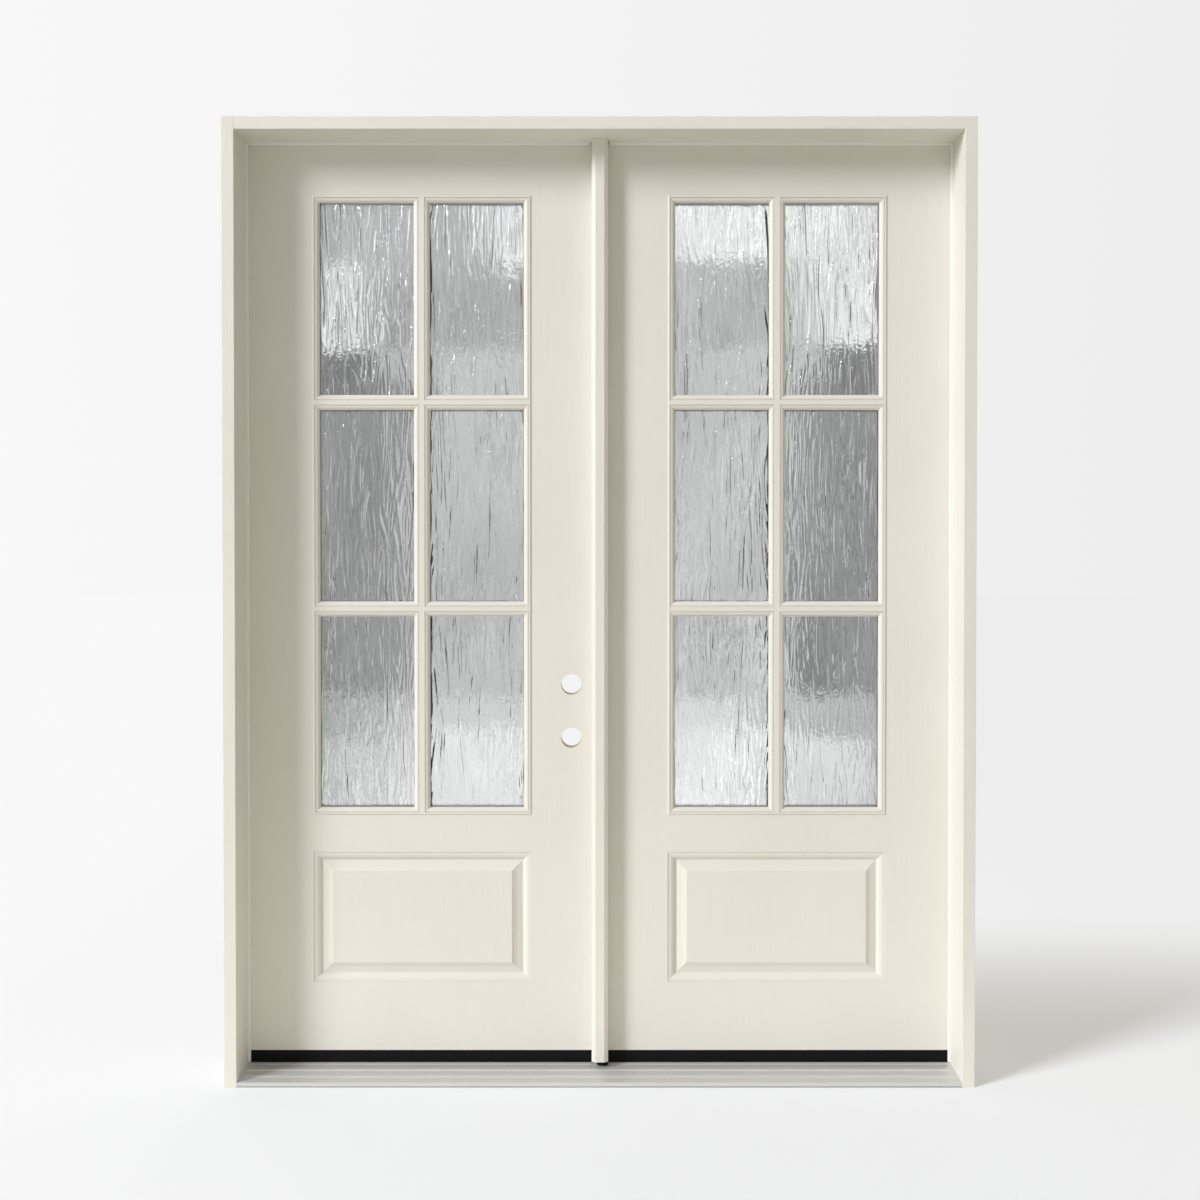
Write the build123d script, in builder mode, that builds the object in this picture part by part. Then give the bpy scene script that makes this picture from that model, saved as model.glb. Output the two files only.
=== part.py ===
import os
from build123d import *

# All lengths are in millimetres: X to the right, Y from outdoors to indoors, Z up.

# Frame
unit_width = 1905.0
unit_height = 2456.0
jamb_depth = 166.7
jamb_thickness = 31.75
stop_lap = 12.7
rabbet_depth = 52.0
jamb_edge_round = 1.2
kerf_width = 3.0
kerf_depth = 9.0

# Sill
nose_height = 13.0
deck_back_height = 18.0
cap_height = 20.0
deck_thickness = 2.5
deck_lip_bottom = 3.0
deck_rib_height = 1.8
deck_rib_width = 15.0
deck_rib_slope = 5.0
deck_rib_count = 3
deck_rib_pitch = 38.0
deck_rib_inset = 29.0
cap_thickness = 8.0
cap_setback = 1.5

# Leaf
leaf_thickness = 44.45
leaf_bottom = 50.0
hinge_gap = 3.0
head_gap = 3.0
meeting_half_gap = 13.0
skin_thickness = 3.0
hinge_stile_width = 38.0
lock_stile_width = 38.0
top_rail_height = 38.0
bottom_rail_height = 60.0

# Weatherstrip and sweep
strip_clearance = 0.3
strip_show = 6.3
strip_round = 2.0
tongue_clearance = 0.3
strip_foot_gap = 0.5
sweep_clearance = 0.5
sweep_wall = 3.5
sweep_web = 4.0
sweep_fin_count = 3
sweep_line_width = 1.6
sweep_line_depth = 0.8
sweep_line_height = 7.0

# Glazed opening
lite_columns = 2
lite_rows = 3
bar_width = 42.0
cross_bar_width = 39.5
lite_hinge_margin = 199.65
lite_lock_margin = 184.8
lite_top_margin = 164.45
lite_bottom = 689.0
lite_border = 18.5
lite_lap = 7.5
lite_leg_clearance = 0.5
lite_proud = 2.8
lite_outer_round = 2.0
bead_width = 13.5
bead_quirk = 2.2
bead_step = 2.4
bead_shoulder = 0.9
bead_foot = 1.0
bead_drop = 8.2
lite_half_gap = 0.5
glass_bite = 6.0
glass_thickness = 4.0
glass_unit_thickness = 25.0
spacer_width = 6.5
spacer_inset = 0.5

# Raised panel
panel_bottom = 230.0
mid_rail_height = 99.5
panel_quirk = 2.0
panel_step = 1.6
panel_ovolo_width = 18.5
panel_groove_depth = 12.0
panel_groove_width = 3.0
panel_border = 50.0
panel_bevel_break = 38.0
panel_bevel_break_depth = 7.4
panel_bevel_top = 1.6
panel_field_drop = 0.8

# Lock bores
bore_radius = 27.0
backset = 60.3
bore_low = 871.5
bore_spacing = 139.7
latch_radius = 12.7
lock_block_width = 90.0
lock_block_height = 460.0

# Hinges
hinge_height = 101.6
hinge_plate_width = 38.0
hinge_plate_thickness = 2.5
hinge_corner = 12.0
hinge_axis_out = 8.5
knuckle_radius = 6.5
knuckle_count = 5
knuckle_gap = 0.4
knuckle_clearance = 0.7
hinge_pin_radius = 4.0
hinge_pin_clearance = 0.08
pin_head_radius = 5.6
pin_head_height = 2.6
gain_clearance = 0.2
hinge_count = 4
hinge_inset = 232.0
hinge_screw_outer = 37.0
hinge_screw_inner = 13.0
hinge_screw_near = 14.0
hinge_screw_far = 26.0
hinge_screw_head_radius = 4.2
hinge_screw_radius = 2.2
hinge_screw_length = 24.0
frame_hinge_screw_length = 15.0
screw_clearance = 0.15

# Astragal and bolts
astragal_left = 7.0
astragal_right = 22.7
astragal_depth = 42.0
astragal_bevel = 10.0
astragal_bevel_depth = 6.0
astragal_head_gap = 0.5
astragal_foot = 24.0
flange_foot = 33.0
stem_left = 9.0
stem_setback = 1.5
seal_left = 20.0
seal_clearance = 0.3
boot_clearance = 0.5
boot_setback = 15.0
boot_round = 8.0
strip_side_gap = 3.0
bolt_radius = 5.0
bolt_clearance = 0.1
bolt_length = 240.0
bolt_travel = 15.0
bolt_rest_gap = 0.5
bolt_tip_chamfer = 1.0
bolt_x = 2.0
thumb_width = 5.6
thumb_height = 22.0
thumb_recess = 0.6
thumb_clearance = 0.3
strike_width = 24.0
strike_thickness = 2.0
strike_hole_radius = 6.2
strike_spare = 3.0
strike_pocket_height = 46.0
strike_pocket_width = 22.0
strike_pocket_depth = 13.0
astragal_screw_count = 5
astragal_screw_inset = 110.0
astragal_screw_head_radius = 5.0
astragal_screw_head_height = 3.0
astragal_screw_radius = 2.4
astragal_screw_length = 44.0

# Frame screws
frame_screw_radius = 2.4
frame_screw_head_radius = 5.0
frame_screw_head_height = 2.5
frame_screw_length = 60.0
frame_screw_inset = 28.0
frame_screw_pitch = 60.0
sill_screw_height = 6.0

# Values worked out from the sizes above
front_y = -jamb_depth / 2
back_y = jamb_depth / 2
shoulder_y = back_y - rabbet_depth
leaf_face_y = back_y - leaf_thickness
leaf_mid_y = back_y - leaf_thickness / 2
outer_x = unit_width / 2
stop_x = outer_x - jamb_thickness
rabbet_x = stop_x + stop_lap
head_stop_z = unit_height - jamb_thickness
head_rabbet_z = head_stop_z + stop_lap
leaf_hinge_x = rabbet_x - hinge_gap
leaf_lock_x = meeting_half_gap
leaf_top = head_rabbet_z - head_gap
stile_front_y = leaf_face_y + skin_thickness
stile_back_y = back_y - skin_thickness
hinge_axis_x = (rabbet_x + leaf_hinge_x) / 2
hinge_axis_y = back_y + hinge_axis_out
sweep_bottom = cap_height + sweep_clearance
leaf_width = leaf_hinge_x - leaf_lock_x
daylight_width = leaf_width - lite_hinge_margin - lite_lock_margin
daylight_height = leaf_top - lite_top_margin - lite_bottom
lite_width = (daylight_width - (lite_columns - 1) * bar_width) / lite_columns
lite_height = (daylight_height - (lite_rows - 1) * cross_bar_width) / lite_rows
lite_centre_x = leaf_lock_x + lite_lock_margin + daylight_width / 2
lite_mid_z = lite_bottom + daylight_height / 2
cutout_width = daylight_width + 2 * (lite_border - lite_lap)
cutout_height = daylight_height + 2 * (lite_border - lite_lap)
glass_width = daylight_width + 2 * glass_bite
glass_height = daylight_height + 2 * glass_bite
glass_front_y = leaf_mid_y - glass_unit_thickness / 2
glass_back_y = leaf_mid_y + glass_unit_thickness / 2
lite_face_y = leaf_face_y - lite_proud
panel_width = daylight_width + 2 * lite_border
panel_height = lite_bottom - lite_border - mid_rail_height - panel_bottom
panel_mid_z = panel_bottom + panel_height / 2
bore_heights = [bore_low, bore_low + bore_spacing]
hinge_low = leaf_bottom + hinge_inset
hinge_pitch = (leaf_top - hinge_inset - hinge_low) / (hinge_count - 1)
hinge_heights = [hinge_low + index * hinge_pitch for index in range(hinge_count)]
hinge_screw_offsets = [
    (-hinge_screw_outer, hinge_screw_near),
    (-hinge_screw_inner, hinge_screw_far),
    (hinge_screw_inner, hinge_screw_near),
    (hinge_screw_outer, hinge_screw_far),
]
frame_screw_rows = [front_y + frame_screw_inset, front_y + frame_screw_inset + frame_screw_pitch]
bore_x = leaf_lock_x + backset
bolt_y = leaf_mid_y
astragal_front_y = leaf_face_y - astragal_depth
astragal_top = head_stop_z - astragal_head_gap

os.makedirs("parts", exist_ok=True)


# Adds or cuts a plain block given by its limits along X, Y and Z
def block(x_limits, y_limits, z_limits, mode=Mode.ADD):
    centre = [(low + high) / 2 for low, high in (x_limits, y_limits, z_limits)]
    with Locations(tuple(centre)):
        Box(x_limits[1] - x_limits[0], y_limits[1] - y_limits[0], z_limits[1] - z_limits[0], mode=mode)


# A sketch plane that faces outdoors, with X to the right and Z up
def face_plane(x, y, z):
    return Plane(origin=(x, y, z), x_dir=(1, 0, 0), z_dir=(0, -1, 0))


# Extrudes a closed outline of (x, y) points from one height to another
def upright(points, bottom, top, mode=Mode.ADD):
    with BuildSketch(Plane.XY.offset(bottom)) as outline:
        with BuildLine():
            Polyline(*points, close=True)
        make_face()
    extrude(outline.sketch, amount=top - bottom, mode=mode)


# Extrudes a closed outline of (y, z) points from one x to another
def crosswise(points, left, right, mode=Mode.ADD):
    with BuildSketch(Plane.YZ.offset(left)) as outline:
        with BuildLine():
            Polyline(*points, close=True)
        make_face()
    extrude(outline.sketch, amount=right - left, mode=mode)


# Turns a flat-head screw profile about a line that starts at the given point
def flat_screw(start, direction, head_radius, head_height, radius, length, mode=Mode.ADD):
    side = (0, 1, 0)
    normal = Vector(side).cross(Vector(direction))
    with BuildSketch(Plane(origin=start, x_dir=side, z_dir=normal)) as outline:
        with BuildLine():
            Polyline(
                (0, 0),
                (0, length),
                (radius, length),
                (radius, head_height),
                (head_radius, 0),
                close=True,
            )
        make_face()
    revolve(outline.sketch, axis=Axis(start, direction), mode=mode)


# Labels one finished piece and writes it to its file
def save(shape, name):
    shape.label = name
    export_step(shape, "parts/" + name + ".step")


# The same piece on the other side of the middle plane
def mirrored(shape):
    return mirror(shape, about=Plane.YZ)


# Several copies of one solid kept as separate solids of one piece
def group(solids):
    return Compound(children=list(solids))


# The outline of a hinge plate, from its far edge to its barrel edge, on the plane of the hinge gap
def hinge_plate_outline(height_extra, barrel_edge):
    far_edge = back_y - hinge_plate_width - height_extra
    width = barrel_edge - far_edge
    with Locations(((far_edge + barrel_edge) / 2, 0)):
        Rectangle(width, hinge_height + 2 * height_extra)
    far_corners = vertices().sort_by(Axis.Y)[:2]
    fillet(far_corners, radius=hinge_corner)


# Cuts the four shallow hinge gains with their floor at one x and their mouth at another
def cut_hinge_gains(floor_x, mouth_x):
    for height in hinge_heights:
        with BuildSketch(Plane(origin=(floor_x, 0, height), x_dir=(0, 1, 0), z_dir=(1, 0, 0))) as gain:
            hinge_plate_outline(gain_clearance, back_y + hinge_plate_width)
        extrude(gain.sketch, amount=mouth_x - floor_x, mode=Mode.SUBTRACT)


# Left jamb: rabbeted section with kerf, hinge gains cut in the rabbet
with BuildPart() as jamb_left:
    jamb_outline = [
        (-outer_x, front_y),
        (-stop_x, front_y),
        (-stop_x, shoulder_y),
        (-rabbet_x, shoulder_y),
        (-rabbet_x - kerf_depth, shoulder_y),
        (-rabbet_x - kerf_depth, shoulder_y + kerf_width),
        (-rabbet_x, shoulder_y + kerf_width),
        (-rabbet_x, back_y),
        (-outer_x, back_y),
    ]
    upright(jamb_outline, 0, unit_height)
    long_edges = edges().filter_by(Axis.Z)
    front_edges = long_edges.filter_by_position(Axis.Y, front_y, front_y)
    back_edges = long_edges.filter_by_position(Axis.Y, back_y, back_y)
    fillet(front_edges + back_edges, radius=jamb_edge_round)
    cut_hinge_gains(-rabbet_x - hinge_plate_thickness, -rabbet_x + hinge_plate_thickness)
save(jamb_left.part, "jamb_left")
jamb_right = mirrored(jamb_left.part)
save(jamb_right, "jamb_right")

# Head jamb: the same section laid over, coped between the side jambs, with the strike pocket
with BuildPart() as head_jamb:
    head_front = [
        (front_y, head_stop_z),
        (shoulder_y, head_stop_z),
        (shoulder_y, unit_height),
        (front_y, unit_height),
    ]
    crosswise(head_front, -stop_x, stop_x)
    cross_edges = edges().filter_by(Axis.X)
    fillet(cross_edges.filter_by_position(Axis.Y, front_y, front_y), radius=jamb_edge_round)
    head_back = [
        (shoulder_y, head_rabbet_z + kerf_depth),
        (shoulder_y + kerf_width, head_rabbet_z + kerf_depth),
        (shoulder_y + kerf_width, head_rabbet_z),
        (back_y, head_rabbet_z),
        (back_y, unit_height),
        (shoulder_y, unit_height),
    ]
    crosswise(head_back, -rabbet_x, rabbet_x)
    strike_x = (bolt_x - strike_width / 2, bolt_x + strike_width / 2)
    strike_y = (bolt_y - strike_width / 2, bolt_y + strike_width / 2)
    block(strike_x, strike_y, (head_rabbet_z, head_rabbet_z + strike_thickness), mode=Mode.SUBTRACT)
    with Locations((bolt_x, bolt_y, head_rabbet_z + (bolt_travel + strike_spare) / 2 - head_gap / 2)):
        Cylinder(strike_hole_radius, bolt_travel + strike_spare - head_gap, mode=Mode.SUBTRACT)
save(head_jamb.part, "head_jamb")

# Head strike plate
with BuildPart() as head_strike:
    block(strike_x, strike_y, (head_rabbet_z, head_rabbet_z + strike_thickness))
    with Locations((bolt_x, bolt_y, head_rabbet_z + strike_thickness / 2)):
        Cylinder(strike_hole_radius, strike_thickness, mode=Mode.SUBTRACT)
save(head_strike.part, "head_strike")

# Sill base: sloped substrate under the deck, level under the cap
deck_back_y = leaf_face_y
with BuildPart() as sill_base:
    base_front = [
        (front_y + deck_thickness, 0),
        (deck_back_y, 0),
        (deck_back_y, deck_back_height - deck_thickness),
        (front_y + deck_thickness, nose_height - deck_thickness),
    ]
    crosswise(base_front, -stop_x, stop_x)
    block((-rabbet_x, rabbet_x), (deck_back_y, back_y), (0, cap_height - cap_thickness))
    block((-rabbet_x, -stop_x), (shoulder_y, deck_back_y), (0, cap_height - cap_thickness))
    block((stop_x, rabbet_x), (shoulder_y, deck_back_y), (0, cap_height - cap_thickness))
    bolt_floor = sweep_bottom - bolt_travel - strike_spare
    with Locations((bolt_x, bolt_y, (bolt_floor + cap_height) / 2)):
        Cylinder(strike_hole_radius, cap_height - bolt_floor, mode=Mode.SUBTRACT)
save(sill_base.part, "sill_base")

# Sill deck: a bent aluminium sheet with broad raised ribs along it
deck_slope_share = (deck_back_height - nose_height) / (deck_back_y - front_y)
with BuildPart() as sill_deck:
    deck_outline = [
        (front_y, deck_lip_bottom),
        (front_y, nose_height),
        (deck_back_y, deck_back_height),
        (deck_back_y, deck_back_height - deck_thickness),
        (front_y + deck_thickness, nose_height - deck_thickness),
        (front_y + deck_thickness, deck_lip_bottom),
    ]
    crosswise(deck_outline, -stop_x, stop_x)
    for rib in range(deck_rib_count):
        rib_start = front_y + deck_rib_inset + rib * deck_rib_pitch
        rib_end = rib_start + deck_rib_width
        start_z = nose_height + (rib_start - front_y) * deck_slope_share
        end_z = nose_height + (rib_end - front_y) * deck_slope_share
        rib_outline = [
            (rib_start, start_z),
            (rib_start + deck_rib_slope, start_z + deck_rib_height),
            (rib_end - deck_rib_slope, end_z + deck_rib_height),
            (rib_end, end_z),
        ]
        crosswise(rib_outline, -stop_x, stop_x)
save(sill_deck.part, "sill_deck")

# Sill cap: the dark riser under the leaves, with the pocket for the bottom strike
with BuildPart() as sill_cap:
    cap_y = (deck_back_y + cap_setback, back_y)
    block((-rabbet_x, rabbet_x), cap_y, (cap_height - cap_thickness, cap_height))
    top_edges = edges().filter_by(Axis.X).group_by(Axis.Z)[-1]
    chamfer(top_edges, length=cap_setback)
    block(strike_x, strike_y, (cap_height - strike_thickness, cap_height), mode=Mode.SUBTRACT)
    with Locations((bolt_x, bolt_y, cap_height - cap_thickness / 2)):
        Cylinder(strike_hole_radius, cap_thickness, mode=Mode.SUBTRACT)
save(sill_cap.part, "sill_cap")

# Sill strike plate
with BuildPart() as sill_strike:
    block(strike_x, strike_y, (cap_height - strike_thickness, cap_height))
    with Locations((bolt_x, bolt_y, cap_height - strike_thickness / 2)):
        Cylinder(strike_hole_radius, strike_thickness, mode=Mode.SUBTRACT)
save(sill_strike.part, "sill_strike")

# Side weatherstrips: a bulb between stop and leaf with a tongue in the kerf
strip_back_y = leaf_face_y - strip_clearance
strip_show_x = stop_x - strip_show
head_strip_z = head_stop_z - strip_show
with BuildPart() as weatherstrip_left:
    strip_outline = [
        (-rabbet_x - kerf_depth + tongue_clearance, shoulder_y + tongue_clearance),
        (-rabbet_x, shoulder_y + tongue_clearance),
        (-rabbet_x, shoulder_y),
        (-strip_show_x, shoulder_y),
        (-strip_show_x, strip_back_y),
        (-rabbet_x, strip_back_y),
        (-rabbet_x, shoulder_y + kerf_width - tongue_clearance),
        (-rabbet_x - kerf_depth + tongue_clearance, shoulder_y + kerf_width - tongue_clearance),
    ]
    upright(strip_outline, cap_height + strip_foot_gap, head_strip_z)
    nose_edges = edges().filter_by(Axis.Z).group_by(Axis.X)[-1]
    fillet(nose_edges, radius=strip_round)
save(weatherstrip_left.part, "weatherstrip_left")
weatherstrip_right = mirrored(weatherstrip_left.part)
save(weatherstrip_right, "weatherstrip_right")

# Head weatherstrips: the same strip in two lengths, one each side of the astragal
head_strip_outline = [
    (shoulder_y + tongue_clearance, head_rabbet_z + kerf_depth - tongue_clearance),
    (shoulder_y + tongue_clearance, head_rabbet_z),
    (shoulder_y, head_rabbet_z),
    (shoulder_y, head_strip_z),
    (strip_back_y, head_strip_z),
    (strip_back_y, head_rabbet_z),
    (shoulder_y + kerf_width - tongue_clearance, head_rabbet_z),
    (shoulder_y + kerf_width - tongue_clearance, head_rabbet_z + kerf_depth - tongue_clearance),
]
head_strip_spans = {
    "weatherstrip_head_left": (-rabbet_x, -seal_left - strip_side_gap),
    "weatherstrip_head_right": (astragal_right + strip_side_gap, rabbet_x),
}
for strip_name, strip_span in head_strip_spans.items():
    with BuildPart() as head_strip:
        crosswise(head_strip_outline, strip_span[0], strip_span[1])
        fillet(edges().filter_by(Axis.X).group_by(Axis.Z)[0], radius=strip_round)
    save(head_strip.part, strip_name)

# Frame screws through the jambs into the head and the sill
with BuildPart() as frame_screws:
    for row in frame_screw_rows:
        for screw_z in (sill_screw_height, unit_height - jamb_thickness / 2):
            for side in (-1, 1):
                start = (side * outer_x, row, screw_z)
                flat_screw(
                    start,
                    (-side, 0, 0),
                    frame_screw_head_radius,
                    frame_screw_head_height,
                    frame_screw_radius,
                    frame_screw_length,
                )
save(group(frame_screws.part.solids()), "frame_screws")


# One hinge plate with its knuckles: the plate runs from its inner face to its outer face along X
def hinge_plate(inner_x, outer_x_limit, height, knuckles):
    pitch = hinge_height / knuckle_count
    plate_edge = hinge_axis_y - knuckle_radius - knuckle_clearance
    with BuildPart() as plate:
        with BuildSketch(Plane(origin=(inner_x, 0, height), x_dir=(0, 1, 0), z_dir=(1, 0, 0))) as outline:
            hinge_plate_outline(0, plate_edge)
        extrude(outline.sketch, amount=outer_x_limit - inner_x)
        tab_limits = (min(inner_x, outer_x_limit), max(inner_x, outer_x_limit))
        for knuckle in knuckles:
            low = height - hinge_height / 2 + knuckle * pitch + knuckle_gap / 2
            high = low + pitch - knuckle_gap
            block(tab_limits, (plate_edge - hinge_plate_thickness, hinge_axis_y), (low, high))
            with Locations((-hinge_axis_x, hinge_axis_y, (low + high) / 2)):
                Cylinder(knuckle_radius, high - low)
        with Locations((-hinge_axis_x, hinge_axis_y, height)):
            Cylinder(hinge_pin_radius + hinge_pin_clearance, hinge_height, mode=Mode.SUBTRACT)
        inward = 1 if outer_x_limit > inner_x else -1
        for offset_z, offset_y in hinge_screw_offsets:
            seat_origin = (inner_x, back_y - offset_y, height + offset_z)
            seat = Plane(origin=seat_origin, x_dir=(0, 1, 0), z_dir=(inward, 0, 0))
            with BuildSketch(seat) as mouth:
                Circle(hinge_screw_head_radius + screw_clearance)
            with BuildSketch(seat.offset(hinge_plate_thickness)) as throat:
                Circle(hinge_screw_radius + screw_clearance)
            loft([mouth.sketch, throat.sketch], mode=Mode.SUBTRACT)
    return plate.part


# The screws of four hinge plates, heads flush with the plate face
def hinge_screws(face_x, direction, length):
    with BuildPart() as screws:
        for height in hinge_heights:
            for offset_z, offset_y in hinge_screw_offsets:
                flat_screw(
                    (face_x, back_y - offset_y, height + offset_z),
                    (direction, 0, 0),
                    hinge_screw_head_radius,
                    hinge_plate_thickness,
                    hinge_screw_radius,
                    length,
                )
    return group(screws.part.solids())


# Hinges: frame plates, leaf plates, pins and screws on the left, mirrored to the right
frame_knuckles = [0, 2, 4]
leaf_knuckles = [1, 3]
frame_plates = []
leaf_plates = []
pins = []
for hinge_z in hinge_heights:
    frame_inner_x = -rabbet_x - hinge_plate_thickness
    leaf_inner_x = -leaf_hinge_x + hinge_plate_thickness
    frame_plates.append(hinge_plate(-rabbet_x, frame_inner_x, hinge_z, frame_knuckles))
    leaf_plates.append(hinge_plate(-leaf_hinge_x, leaf_inner_x, hinge_z, leaf_knuckles))
    with BuildPart() as hinge_pin:
        with Locations((-hinge_axis_x, hinge_axis_y, hinge_z)):
            Cylinder(hinge_pin_radius, hinge_height)
        for end in (-1, 1):
            cap_z = hinge_z + end * (hinge_height + pin_head_height) / 2
            with Locations((-hinge_axis_x, hinge_axis_y, cap_z)):
                Cylinder(pin_head_radius, pin_head_height)
    pins.append(hinge_pin.part)

hinge_groups = {
    "hinge_plates_frame": group(frame_plates),
    "hinge_plates_leaf": group(leaf_plates),
    "hinge_pins": group(pins),
    "hinge_screws_frame": hinge_screws(-rabbet_x, -1, frame_hinge_screw_length),
    "hinge_screws_leaf": hinge_screws(-leaf_hinge_x, 1, hinge_screw_length),
}
for group_name, hinge_group in hinge_groups.items():
    save(hinge_group, group_name + "_left")
    save(mirrored(hinge_group), group_name + "_right")

# Leaf sizes shared by its pieces, drawn for the left leaf
leaf_x = (-leaf_hinge_x, -leaf_lock_x)
leaf_z = (leaf_bottom, leaf_top)
stile_y = (stile_front_y, stile_back_y)
core_x = (-leaf_hinge_x + hinge_stile_width, -leaf_lock_x - lock_stile_width)
core_z = (leaf_bottom + bottom_rail_height, leaf_top - top_rail_height)
leaf_mid_plane = Plane(origin=(0, leaf_mid_y, 0), x_dir=(1, 0, 0), z_dir=(0, 1, 0))


# Limits of a span about its middle
def around(middle, size):
    return (middle - size / 2, middle + size / 2)


# Adds or cuts a block centred on the glazed opening
def glazing_block(width, height, y_limits, mode=Mode.ADD):
    block(around(-lite_centre_x, width), y_limits, around(lite_mid_z, height), mode)


# A closed rectangular path on the face of the leaf, started at the middle of its lower side
def ring_path(centre_x, y, centre_z, width, height):
    with BuildLine(face_plane(centre_x, y, centre_z)) as path:
        Polyline(
            (0, -height / 2),
            (width / 2, -height / 2),
            (width / 2, height / 2),
            (-width / 2, height / 2),
            (-width / 2, -height / 2),
            close=True,
        )
    return path.wire()


# The plane across a ring path at its start: first value outward, second value into the leaf
def ring_section(centre_x, y, centre_z, height):
    return Plane(origin=(centre_x, y, centre_z - height / 2), x_dir=(0, 0, -1), z_dir=(1, 0, 0))


# The tapered hollow behind the raised field of a panel
def panel_hollow(mode):
    pan_depth = panel_groove_depth + skin_thickness
    hollow_foot = panel_step + panel_ovolo_width + panel_groove_width + panel_quirk
    hollow_top = panel_border + 2 * skin_thickness
    with BuildSketch(face_plane(-lite_centre_x, leaf_face_y + pan_depth, panel_mid_z)) as foot:
        Rectangle(panel_width - 2 * hollow_foot, panel_height - 2 * hollow_foot)
    with BuildSketch(face_plane(-lite_centre_x, stile_front_y + panel_field_drop, panel_mid_z)) as top:
        Rectangle(panel_width - 2 * hollow_top, panel_height - 2 * hollow_top)
    loft([foot.sketch, top.sketch], mode=mode)


# The block that the moulded panel takes up behind the skin
def panel_pan(mode=Mode.ADD):
    pan_x = around(-lite_centre_x, panel_width + 2 * skin_thickness)
    pan_z = around(panel_mid_z, panel_height + 2 * skin_thickness)
    block(pan_x, (leaf_face_y, stile_front_y + panel_groove_depth), pan_z, mode)


# Exterior skin: thin sheet with the raised panel moulded in it and the glazing cut out of it
with BuildPart() as skin_exterior:
    block(leaf_x, (leaf_face_y, stile_front_y), leaf_z)
    panel_pan()
    panel_hollow(Mode.SUBTRACT)
    ovolo_start = panel_step
    ovolo_end = panel_step + panel_ovolo_width
    groove_end = ovolo_end + panel_groove_width
    ovolo_mid_share = 0.64
    ovolo_depth_share = 0.30
    ovolo_mid = (
        -ovolo_start - panel_ovolo_width * ovolo_mid_share,
        panel_quirk + (panel_groove_depth - panel_quirk) * ovolo_depth_share,
    )
    with BuildSketch(ring_section(-lite_centre_x, leaf_face_y, panel_mid_z, panel_height)) as panel_section:
        with BuildLine():
            Polyline((-panel_border, 0), (0, 0), (0, panel_quirk), (-ovolo_start, panel_quirk))
            ThreePointArc((-ovolo_start, panel_quirk), ovolo_mid, (-ovolo_end, panel_groove_depth))
            Polyline(
                (-ovolo_end, panel_groove_depth),
                (-groove_end, panel_groove_depth),
                (-panel_bevel_break, panel_bevel_break_depth),
                (-panel_border, panel_bevel_top),
                (-panel_border, 0),
            )
        make_face()
    panel_path = ring_path(-lite_centre_x, leaf_face_y, panel_mid_z, panel_width, panel_height)
    sweep(panel_section.sketch, path=panel_path, transition=Transition.RIGHT, mode=Mode.SUBTRACT)
    field_x = around(-lite_centre_x, panel_width - 2 * panel_border)
    field_z = around(panel_mid_z, panel_height - 2 * panel_border)
    block(field_x, (leaf_face_y, leaf_face_y + panel_field_drop), field_z, mode=Mode.SUBTRACT)
    glazing_block(cutout_width, cutout_height, (leaf_face_y, stile_front_y), mode=Mode.SUBTRACT)

# Interior skin: the same moulding turned to the room, notched for the hinge plates
with BuildPart() as skin_interior:
    add(mirror(skin_exterior.part, about=leaf_mid_plane))
    cut_hinge_gains(-leaf_hinge_x - hinge_plate_thickness, -leaf_hinge_x + hinge_plate_thickness)

# Stiles, rails and core between the skins
with BuildPart() as hinge_stile:
    block((leaf_x[0], core_x[0]), stile_y, leaf_z)
    cut_hinge_gains(-leaf_hinge_x - hinge_plate_thickness, -leaf_hinge_x + hinge_plate_thickness)
with BuildPart() as lock_stile:
    block((core_x[1], leaf_x[1]), stile_y, leaf_z)
with BuildPart() as top_rail:
    block(core_x, stile_y, (core_z[1], leaf_top))
with BuildPart() as bottom_rail:
    block(core_x, stile_y, (leaf_bottom, core_z[0]))
with BuildPart() as panel_foam:
    panel_hollow(Mode.ADD)
with BuildPart() as panel_room:
    panel_pan()
with BuildPart() as core:
    block(core_x, stile_y, core_z)
    glazing_block(cutout_width, cutout_height, stile_y, mode=Mode.SUBTRACT)
    add(panel_room.part, mode=Mode.SUBTRACT)
    add(mirror(panel_room.part, about=leaf_mid_plane), mode=Mode.SUBTRACT)
    add(panel_foam.part)
    add(mirror(panel_foam.part, about=leaf_mid_plane))

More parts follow.
